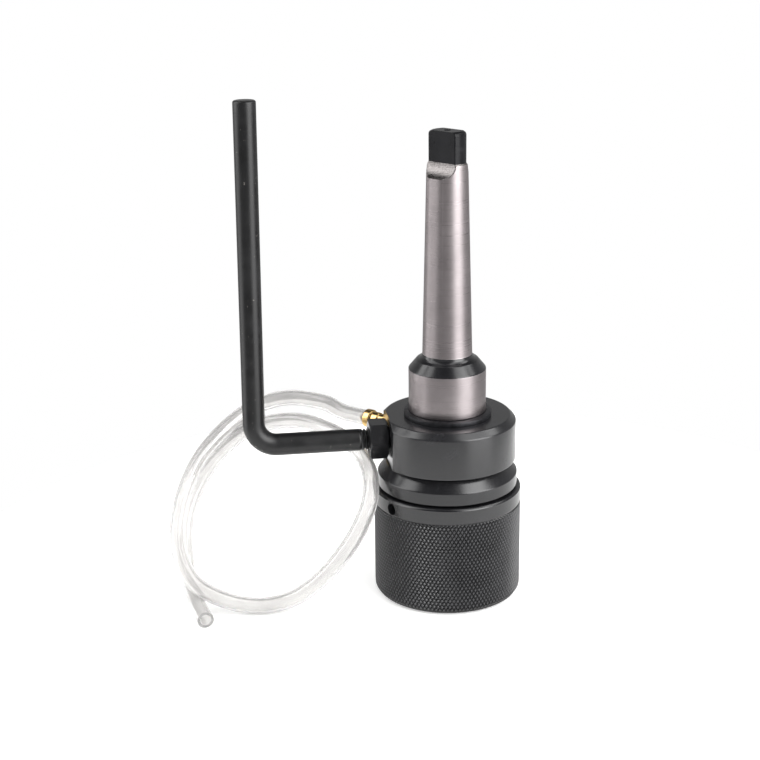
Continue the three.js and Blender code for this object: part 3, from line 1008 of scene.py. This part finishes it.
# ---- Coolant ring -------------------------------------------------------------------------

RING_FLAT = 21.9
RING_OUTLINE = [
    (14.1, 51.4), (24.6, 51.4), (25, 51.8), (25, 66.4), (22.9, 68.5), (14.1, 68.5),
    (14.1, 66.4), (16.3, 66.4), (16.3, 63.8), (14.1, 63.8),
    (14.1, 62.5), (15.8, 62.5), (15.8, 57.5), (14.1, 57.5),
    (14.1, 56.2), (16.3, 56.2), (16.3, 53.6), (14.1, 53.6),
]
BARB_AZIMUTH = 139
ROD_R = 4.0


def ring_flat(r, z, angle):
    """The radius of the coolant ring, inside the flat that the arm's nut bears on."""
    across = -math.cos(angle)
    if across * r < RING_FLAT - 0.5:
        return r
    return softer_least(r, RING_FLAT / across, 0.12)


class CHUCK_OT_coolant_ring(bpy.types.Operator):
    """Turn the coolant ring with its seals and the washer that it runs on"""

    bl_idname = "chuck.coolant_ring"
    bl_label = "Coolant ring"

    def execute(self, context):
        outline = with_rows(eased(RING_OUTLINE), 66.2, 68.6, 0.35, 16.4)
        ring = new_object("coolant_ring_fine", turned(outline, even_angles(288), ring_flat))
        arm_hole = [(0, 17.2), (ROD_R + 0.1, 17.2), (ROD_R + 0.1, 25.5), (0, 25.5)]
        barb_hole = [
            (0, 13), (1.5, 13), (1.5, 18.5), (2.6, 18.5), (2.6, 24.55), (4.6, 24.55),
            (4.6, 27.5), (0, 27.5),
        ]
        holes = joined(
            radial(turned(arm_hole, even_angles(48)), 180, PORT_Z),
            radial(turned(barb_hole, even_angles(48)), BARB_AZIMUTH, PORT_Z),
        )
        combine(ring, holes, "DIFFERENCE")
        finish_piece(
            ring,
            "coolant_ring",
            ["coolant_ring"],
            [black_oxide("black oxide over turned ring", 0.24, 1.55)],
        )
        rubber = nitrile_rubber()
        for name, height in {"lower_ring_seal": 54.9, "upper_ring_seal": 65.1}.items():
            section = [(15.2 + x, height + z) for x, z in arc(0.98, -90, 255, 23)]
            seal = new_object(f"{name}_fine", turned(section))
            finish_piece(seal, NODE_BODY[name], [name], [rubber], sharp=60)
        washer_outline = [(14.2, 50.6), (21.5, 50.6), (21.5, 51.3), (14.2, 51.3)]
        washer = new_object("thrust_washer_fine", turned(eased(washer_outline, 0.1)))
        finish_piece(
            washer, NODE_BODY["thrust_washer"], ["thrust_washer"], [black_nylon()]
        )
        return {"FINISHED"}


# ---- Torque arm, its nut and the hose fitting ---------------------------------------------

ARM_REACH = 70.44
ARM_INNER_X = 17.5
ARM_BEND_R = 8.3
ARM_LEAN = math.radians(0.5)
ARM_TOP_Z = 183.8
THREAD_LENGTH = 15.0
NUT_FLATS = 13.0
NUT_LENGTH = 6.8


def arm_line(step):
    """Points along the arm: out from the ring, round the bend and up the leg."""
    bend_x = -ARM_REACH + ARM_BEND_R * math.cos(ARM_LEAN)
    fine = sizes().thread_pitch / MM / 12
    count = int((THREAD_LENGTH + 1.5) / fine)
    points = [(-ARM_INNER_X - fine * k, 0, PORT_Z) for k in range(count)]
    x = points[-1][0] - step
    while x > bend_x + step:
        points.append((x, 0, PORT_Z))
        x -= step
    for k in range(25):
        a = (math.pi / 2 + ARM_LEAN) * k / 24
        across, rise = ARM_BEND_R * math.sin(a), ARM_BEND_R * (1 - math.cos(a))
        points.append((bend_x - across, 0, PORT_Z + rise))
    foot_x, _, foot_z = points[-1]
    rise = ARM_TOP_Z - 0.7 - foot_z
    steps = int(rise / (2 * step))
    for k in range(1, steps + 1):
        up = rise * k / steps
        points.append((foot_x + up * math.tan(ARM_LEAN), 0, foot_z + up))
    top_x = foot_x + (ARM_TOP_Z - foot_z) * math.tan(ARM_LEAN)
    for drop in (0.5, 0.25, 0.08, 0.0):
        points.append((top_x, 0, ARM_TOP_Z - drop))
    return points


def arm_radius(total):
    """The bar's radius by distance and angle: a cut thread, then plain bar, a broken end."""
    pitch = sizes().thread_pitch / MM
    depth = sizes().thread_depth / MM

    def radius(distance, angle):
        left = total - distance
        if left < 0.5:
            return ROD_R - 0.45 * (1 - left / 0.5) ** 2 - 0.02
        if distance > THREAD_LENGTH:
            return ROD_R
        phase = (distance / pitch - angle / (2 * math.pi)) % 1.0
        groove = min(1.0, max(0.0, (1 - abs(2 * phase - 1) - 0.12) / 0.7))
        fade = min(1.0, (THREAD_LENGTH - distance) / 1.6)
        start = min(1.0, distance / 0.8)
        return ROD_R - 0.02 - depth * groove * fade - 0.5 * (1 - start)

    return radius


def nut_shape(r, z, angle):
    """A hexagon with flats above and below, and its corners turned off at 30 degrees."""
    if r < 5:
        return r
    sixth = math.pi / 3
    off = (angle + sixth / 2) % sixth - sixth / 2
    flat = NUT_FLATS / 2 / math.cos(off)
    near_end = min(z, NUT_LENGTH - z)
    cone = NUT_FLATS / 2 - 0.05 + max(0.0, near_end) * 1.73
    return min(r, softer_least(flat, cone, 0.14))


class CHUCK_OT_torque_arm(bpy.types.Operator):
    """Bend and thread the torque arm, and mill its lock nut"""

    bl_idname = "chuck.torque_arm"
    bl_label = "Torque arm"

    def execute(self, context):
        line = arm_line(2.0)
        total = sum(math.dist(a, b) for a, b in zip(line, line[1:]))
        arm = new_object("torque_arm_fine", swept(line, 64, arm_radius(total)))
        level_top(arm)
        bar = drawn_bar_oxide()
        finish_piece(arm, NODE_BODY["torque_arm"], ["torque_arm"], [bar])
        ends = [0, 0.03, 0.08, 0.14, 0.2, 0.28, 0.36, 0.46, 0.58, 0.72, 0.9]
        heights = [*ends, *(1.2 + 0.44 * k for k in range(11))]
        heights += [NUT_LENGTH - end for end in ends[::-1]]
        outside = [(8.0, z) for z in heights]
        bore = [(4.1, NUT_LENGTH - 0.5), (4.1, 0.5)]
        faces = [(6.2, NUT_LENGTH), (4.6, NUT_LENGTH)]
        outline = [(4.6, 0), (6.2, 0), *outside, *faces, *bore]
        hexagon = turned(outline, even_angles(216), nut_shape)
        nut = new_object("arm_lock_nut_fine", nut_place(hexagon))
        oxide = black_oxide("black oxide over milled nut", 0.24, 1.36)
        finish_piece(nut, NODE_BODY["arm_lock_nut"], ["arm_lock_nut"], [oxide])
        return {"FINISHED"}


def nut_place(shell):
    """The nut laid over onto the arm, with its inner face 0.3 mm off the ring's flat."""
    lay = Matrix.Rotation(math.radians(-90), 4, "Y")
    place = Matrix.Translation((-RING_FLAT - 0.3, 0, PORT_Z))
    return moved(shell, place @ lay)


def level_top(arm):
    """Sets the corners of the arm's end face to one height."""
    top = ARM_TOP_Z * MM
    for vertex in arm.data.vertices:
        if vertex.co.z > top - 0.07 * MM:
            vertex.co.z = top
    arm.data.update()


class CHUCK_OT_hose_barb(bpy.types.Operator):
    """Turn the brass hose fitting, with the barbed tail that the hose is pushed onto"""

    bl_idname = "chuck.hose_barb"
    bl_label = "Hose fitting"

    def execute(self, context):
        head = [
            (0.8, 18.9), (2.45, 18.9), (2.45, 24.85), (2.7, 24.9), (2.7, 29.2), (3.0, 29.6),
            (3.0, 31.9), (2.75, 32.2), (3.3, 32.5), (3.5, 32.9), (3.5, 35.1), (3.2, 35.5),
        ]
        tail = [
            (1.4, 35.5), (1.4, 36.1), (1.85, 36.2), (1.2, 37.6), (0.8, 37.6),
        ]
        shell = turned(eased([*head, *tail], 0.12), even_angles(64))
        barb = new_object("hose_barb_fine", radial(shell, BARB_AZIMUTH, PORT_Z))
        finish_piece(barb, NODE_BODY["hose_barb"], ["hose_barb"], [turned_brass()])
        return {"FINISHED"}


# ---- Release sleeve -----------------------------------------------------------------------

KNURL_BOTTOM = 0.75
KNURL_TOP = 34.95
KNURL_CELLS = 28  # half rows of diamonds; a 30 degree knurl with grooves 1.2 mm apart
KNURL_FLAT = 0.42  # share of a diamond's width that stays flat on top
LEAD_IN_TOP = 2.2
LEAD_IN_SLOPE = 0.63


def lead_in(z):
    """How far the sleeve's surface lies below full size, in the taper at its bottom edge."""
    return LEAD_IN_SLOPE * max(0.0, LEAD_IN_TOP - z)


def knurled_sleeve():
    """The sleeve with its diamonds raised between grooves that cross at 30 degrees."""
    around = sizes().knurl_around
    valley = SLEEVE_R - sizes().knurl_depth / MM
    step = 2 * math.pi / around
    rise = (KNURL_TOP - KNURL_BOTTOM) / KNURL_CELLS
    corners, faces = [], []

    def corner(turns, row, radius):
        angle = turns * step
        height = KNURL_BOTTOM + row * rise
        reach = radius - lead_in(height)
        corners.append((reach * math.cos(angle), reach * math.sin(angle), height))
        return len(corners) - 1

    crossing = [
        [corner(i + (row % 2) / 2, row, valley) for i in range(around)]
        for row in range(KNURL_CELLS + 1)
    ]
    edges = {0: [], KNURL_CELLS: []}
    half = KNURL_FLAT / 2
    for row in range(KNURL_CELLS + 1):
        for i in range(around):
            turns = i + (row % 2) / 2 + 0.5
            left, right = crossing[row][i], crossing[row][(i + 1) % around]
            above = (i + row % 2) % around
            west = corner(turns - half, row, SLEEVE_R)
            east = corner(turns + half, row, SLEEVE_R)
            top = None
            if row < KNURL_CELLS:
                tip = crossing[row + 1][above]
                top = corner(turns, row + KNURL_FLAT, SLEEVE_R)
                faces += [(left, west, top, tip), (west, east, top), (east, right, tip, top)]
            if row > 0:
                tip = crossing[row - 1][above]
                low = corner(turns, row - KNURL_FLAT, SLEEVE_R)
                faces += [(left, tip, low, west), (low, east, west), (low, tip, right, east)]
            if row in edges:
                edges[row] += [left, west, east]
    angles = [math.atan2(corners[c][1], corners[c][0]) for c in edges[0]]
    outline = [
        (26.55, 35.25), (26.55, 35.45), (26.62, 35.55), (26.93, 35.7), (27, 35.85), (27, 36.1),
        (27, 40.4), (27, 40.6), (26.93, 40.72), (26.45, 41.22), (26.28, 41.3), (26, 41.3),
        (20.5, 41.3), (20.25, 41.3), (20.1, 41.15), (20.1, 34.2),
        (21, 34.2), (21, 22.3), (22, 22.3), (22, 0.5), (22.2, 0.3), (25.3, 0.3), (25.45, 0.38),
    ]
    rings = []
    for r, z in outline:
        rings.append(list(range(len(corners), len(corners) + len(angles))))
        corners += [(r * math.cos(a), r * math.sin(a), z) for a in angles]
    chain = [edges[KNURL_CELLS], *rings, edges[0]]
    for low, high in zip(chain, chain[1:]):
        faces += between(low, high)
    return corners, faces


def sleeve_finish(reach, z, normal):
    """Which finish a face of the sleeve has: 0 turned, 1 knurled."""
    return int(KNURL_BOTTOM - 0.1 < z < KNURL_TOP + 0.1 and reach > 25)


class CHUCK_OT_release_sleeve(bpy.types.Operator):
    """Turn and knurl the release sleeve, drill it and set its two guide screws"""

    bl_idname = "chuck.release_sleeve"
    bl_label = "Release sleeve"

    def execute(self, context):
        sleeve = new_object("release_sleeve_fine", knurled_sleeve())
        hole = [(0, 19), (2.1, 19), (2.1, 26.8), (2.3, 27.3), (0, 27.3)]
        holes = [
            radial(turned(hole, even_angles(48)), azimuth, SCREW_Z)
            for azimuth in SCREW_AZIMUTHS.values()
        ]
        combine(sleeve, joined(*holes), "DIFFERENCE")
        finish_piece(
            sleeve,
            "release_sleeve",
            ["release_sleeve"],
            [black_oxide("black oxide over turned sleeve", 0.24, 1.55), knurled_oxide()],
            choose=sleeve_finish,
            sharp=30,
        )
        outline = [
            (0, 18.6), (1.4, 18.6), (1.4, 20.3), (2, 20.8), (2, 24.2), (1.25, 24.2),
            (1.15, 24.0), (1.15, 22.7), (0, 22.4),
        ]
        oxide = black_oxide("black oxide over socket screw", 0.35, 1.5)
        for place, azimuth in SCREW_AZIMUTHS.items():
            name = f"guide_screw_{place}"
            shell = radial(turned(eased(outline, 0.1), even_angles(48)), azimuth, SCREW_Z)
            screw = new_object(f"{name}_fine", shell)
            finish_piece(screw, NODE_BODY[name], [name], [oxide])
        return {"FINISHED"}


# ---- Cutter lock --------------------------------------------------------------------------

CAM_LOCKED_R = 16.37
CAM_TRAVEL = 1.4


def cam_groove(r, z, angle):
    """The cam ring's groove, which deepens over the twist beside each ball."""
    if not 16.2 < r < 16.5:
        return r
    degrees = math.degrees(angle)
    openings = []
    for at in BALL_AZIMUTHS.values():
        before = (at - degrees) % 360
        openings.append(before / TWIST if before <= TWIST else float(before <= TWIST + 10))
    return r + CAM_TRAVEL * max(openings)


def coil(radius, wire, bottom, top, turns, per_turn):
    """A helix of round wire about Z."""
    count = turns * per_turn
    points = []
    for k in range(count + 1):
        a = 2 * math.pi * k / per_turn
        height = bottom + (top - bottom) * k / count
        points.append((radius * math.cos(a), radius * math.sin(a), height))
    return swept(points, 12, lambda s, a: wire)


class CHUCK_OT_cutter_lock(bpy.types.Operator):
    """Make the cam ring, the two lock balls and the sleeve's spring"""

    bl_idname = "chuck.cutter_lock"
    bl_label = "Cutter lock"

    def execute(self, context):
        bearing = bearing_steel()
        outline = [
            (16.1, 3.2), (21.9, 3.2), (21.9, 22.2), (16.1, 22.2), (16.1, 16.9),
            (CAM_LOCKED_R, 16.9), (CAM_LOCKED_R, 8.1), (16.1, 8.1),
        ]
        cam = new_object("lock_cam_ring_fine", turned(outline, shape=cam_groove))
        finish_piece(
            cam, NODE_BODY["lock_cam_ring"], ["lock_cam_ring"], [bearing]
        )
        for place, azimuth in BALL_AZIMUTHS.items():
            name = f"lock_ball_{place}"
            half = [
                (BALL_R * math.cos(a), BALL_R * math.sin(a))
                for a in (math.radians(-90 + 6 * k) for k in range(31))
            ]
            profile = [(0, BALL_CENTRE_R - BALL_R)]
            profile += [(r, BALL_CENTRE_R + z) for r, z in half[1:-1]]
            profile += [(0, BALL_CENTRE_R + BALL_R)]
            shell = radial(turned(profile, even_angles(60)), azimuth, BALL_Z)
            obj = new_object(f"{name}_fine", shell)
            finish_piece(obj, NODE_BODY[name], [name], [bearing])
        spring = new_object("sleeve_spring_fine", coil(18.5, 0.9, 23.6, 32.9, 4, 48))
        finish_piece(
            spring,
            NODE_BODY["sleeve_spring"],
            ["sleeve_spring"],
            [spring_steel()],
            sharp=60,
        )
        return {"FINISHED"}


# ---- Coolant valve ------------------------------------------------------------------------

VALVE_SPRING_Z = (49.2, 80.7)
VALVE_WIRE_R = 0.5


class CHUCK_OT_coolant_valve(bpy.types.Operator):
    """Make the coolant valve inside the arbor"""

    bl_idname = "chuck.coolant_valve"
    bl_label = "Coolant valve"

    def execute(self, context):
        plunger = [
            (0, 29), (2.4, 29), (3, 29.6), (3, 45.1), (5.6, 45.1), (5.6, 49), (2.8, 49),
            (2.8, 54), (0, 54),
        ]
        seat = [(3.3, 37.9), (7.4, 37.9), (7.4, 43.9), (3.3, 43.9)]
        seal = [(3.6, 44), (5.2, 44), (5.2, 45), (3.6, 45)]
        for name, outline, slot, material in (
            ("valve_seat", seat, "brass", turned_brass()),
            ("valve_plunger", plunger, "ground_steel", ground_steel()),
            ("valve_seal", seal, "nitrile_rubber", nitrile_rubber()),
        ):
            shell = turned(eased(outline, 0.15), even_angles(96))
            obj = new_object(f"{name}_fine", shell)
            finish_piece(obj, NODE_BODY[name], [name], [material])
        low, high = VALVE_SPRING_Z
        coils = coil(4.6, VALVE_WIRE_R, low + VALVE_WIRE_R, high - VALVE_WIRE_R, 7, 32)
        spring = new_object("valve_spring_fine", coils)
        finish_piece(
            spring,
            NODE_BODY["valve_spring"],
            ["valve_spring"],
            [spring_steel()],
            sharp=60,
        )
        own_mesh(spring)
        return {"FINISHED"}


# ---- Stage --------------------------------------------------------------------------------

EYE = Vector((-70.57, -534.75, 258.7))  # millimetres, in the frame
HEADING = math.radians(7.432)  # to the right of +Y
DOWN = math.radians(18.109)
ROLL = math.radians(-0.75)
LENS = 74.7
SENSOR = 36.0
FLOOR_R = 200.0  # a round sheet of paper, so that the shank's gloss shows the room past it


def camera_matrix():
    forward = Vector(
        (
            math.sin(HEADING) * math.cos(DOWN),
            math.cos(HEADING) * math.cos(DOWN),
            -math.sin(DOWN),
        )
    )
    level = Vector((math.cos(HEADING), -math.sin(HEADING), 0))
    above = level.cross(forward)
    right = level * math.cos(ROLL) + above * math.sin(ROLL)
    up = above * math.cos(ROLL) - level * math.sin(ROLL)
    turn = Matrix((right, up, -forward)).transposed()
    return Matrix.Translation(EYE * MM) @ turn.to_4x4()


def softbox(name, azimuth, elevation, distance, width, height, power):
    """A square light on a sphere about the chuck, facing it. Azimuth 0 is in front, 90 right."""
    data = bpy.data.lights.new(name, "AREA")
    data.shape = "RECTANGLE"
    data.size, data.size_y = width, height
    data.energy = power
    light = bpy.data.objects.new(name, data)
    bpy.context.scene.collection.objects.link(light)
    a, e = math.radians(azimuth), math.radians(elevation)
    out = Vector((math.sin(a) * math.cos(e), -math.cos(a) * math.cos(e), math.sin(e)))
    aim = Vector((0, 0, 0.08))
    light.location = aim + out * distance
    light.rotation_mode = "QUATERNION"
    light.rotation_quaternion = (-out).to_track_quat("-Z", "Y")
    return light


def floor_material():
    """Seamless studio paper: matt, near white, with a faint tooth."""
    material, tree = new_material("white studio paper")
    rgb = finishes().floor
    place = add(tree, "ShaderNodeTexCoord").outputs["Object"]
    tooth = noise(tree, place, 3.0, 3.0)
    principled(
        tree,
        base_color=mixed(tree, spread(tree, tooth, 0, 1), shade(rgb, 0.99), rgb),
        roughness=0.9,
        specular_ior_level=0.1,
        emission_color=rgba((1, 1, 1)),
        emission_strength=0.3,
    )
    return material


# Panels of the room that only gloss shows: azimuth in degrees from the front, then strength.
PANELS = ((46.5, 3.1), (-98, 1.7))


def room():
    """A white room whose ceiling looks dark in gloss, with upright bright panels."""
    world = bpy.data.worlds.new("white room")
    world.use_nodes = True
    tree = world.node_tree
    tree.nodes.clear()
    strength = lights().room
    white = add(
        tree,
        "ShaderNodeBackground",
        {"Color": (1, 1, 1, 1), "Strength": strength},
    )
    up = add(tree, "ShaderNodeTexCoord").outputs["Generated"]
    height = add(tree, "ShaderNodeSeparateXYZ", {0: up}).outputs["Z"]
    dim = add(
        tree,
        "ShaderNodeMapRange",
        {
            "Value": height,
            "From Min": 0.2,
            "From Max": 0.75,
            "To Min": 0.45,
            "To Max": 0.04,
        },
        interpolation_type="SMOOTHSTEP",
    ).outputs[0]
    level = add(
        tree, "ShaderNodeVectorMath", {0: up, 1: (1, 1, 0)}, operation="MULTIPLY"
    ).outputs[0]
    level = add(tree, "ShaderNodeVectorMath", {0: level}, operation="NORMALIZE").outputs[0]
    for azimuth, strength in PANELS:
        toward = (math.sin(math.radians(azimuth)), -math.cos(math.radians(azimuth)), 0)
        facing = add(
            tree, "ShaderNodeVectorMath", {0: level, 1: toward}, operation="DOT_PRODUCT"
        ).outputs["Value"]
        panel = spread(tree, facing, 0, strength, 0.9, 0.96)
        dim = add(tree, "ShaderNodeMath", {0: dim, 1: panel}, operation="ADD").outputs[0]
    dark = add(tree, "ShaderNodeBackground", {"Color": (1, 1, 1, 1), "Strength": dim})
    gloss = add(tree, "ShaderNodeLightPath").outputs["Is Glossy Ray"]
    mix = add(tree, "ShaderNodeMixShader", {0: gloss, 1: white.outputs[0], 2: dark.outputs[0]})
    add(tree, "ShaderNodeOutputWorld", {"Surface": mix.outputs[0]})
    bpy.context.scene.world = world


class CHUCK_OT_stage(bpy.types.Operator):
    """Set the camera, the floor and the studio light"""

    bl_idname = "chuck.stage"
    bl_label = "Stage"

    def execute(self, context):
        scene = context.scene
        scene.view_settings.view_transform = "Standard"
        data = bpy.data.cameras.new("camera")
        data.sensor_width = SENSOR
        data.lens = LENS
        data.clip_start, data.clip_end = 0.01, 20
        camera = bpy.data.objects.new("camera", data)
        scene.collection.objects.link(camera)
        camera.matrix_world = camera_matrix()
        scene.camera = camera
        rim = [(x, y, -0.05) for x, y in arc(FLOOR_R, 0, 360, 96)[:-1]]
        floor = new_object("floor", (rim, [tuple(range(len(rim)))]))
        floor.data.materials.append(floor_material())
        softbox("left softbox", -98, 30, 0.95, 0.66, 1.0, lights().left)
        softbox("right softbox", 46, 24, 0.95, 0.74, 1.0, lights().right)
        softbox("far right softbox", 92, 48, 0.95, 0.3, 0.4, lights().far_right)
        room()
        return {"FINISHED"}


# ---- Panel and registration ---------------------------------------------------------------

PIECES = (
    CHUCK_OT_hose,
    CHUCK_OT_arbor,
    CHUCK_OT_retaining_rings,
    CHUCK_OT_coolant_ring,
    CHUCK_OT_torque_arm,
    CHUCK_OT_hose_barb,
    CHUCK_OT_release_sleeve,
    CHUCK_OT_cutter_lock,
    CHUCK_OT_coolant_valve,
)


class CHUCK_PT_panel(bpy.types.Panel):
    """Lists the chuck's pieces, sizes, colours and light"""

    bl_idname = "CHUCK_PT_panel"
    bl_label = "Annular cutter chuck"
    bl_space_type = "VIEW_3D"
    bl_region_type = "UI"
    bl_category = "Chuck"

    def draw(self, context):
        layout = self.layout
        for operator in (CHUCK_OT_stage, *PIECES):
            layout.operator(operator.bl_idname)
        for group in (sizes(), finishes(), lights()):
            box = layout.box()
            for name in group.bl_rna.properties.keys():
                if name not in ("rna_type", "name"):
                    box.prop(group, name)


CLASSES = (ChuckSizes, ChuckFinishes, ChuckLights, CHUCK_OT_stage, *PIECES, CHUCK_PT_panel)


def register():
    for cls in CLASSES:
        bpy.utils.register_class(cls)
    bpy.types.Scene.chuck_sizes = PointerProperty(type=ChuckSizes)
    bpy.types.Scene.chuck_finishes = PointerProperty(type=ChuckFinishes)
    bpy.types.Scene.chuck_lights = PointerProperty(type=ChuckLights)


def unregister():
    del bpy.types.Scene.chuck_lights
    del bpy.types.Scene.chuck_finishes
    del bpy.types.Scene.chuck_sizes
    for cls in reversed(CLASSES):
        bpy.utils.unregister_class(cls)


def main():
    register()
    for operator in (CHUCK_OT_stage, *PIECES):
        group, name = operator.bl_idname.split(".")
        getattr(getattr(bpy.ops, group), name)()


if __name__ == "__main__":
    main()
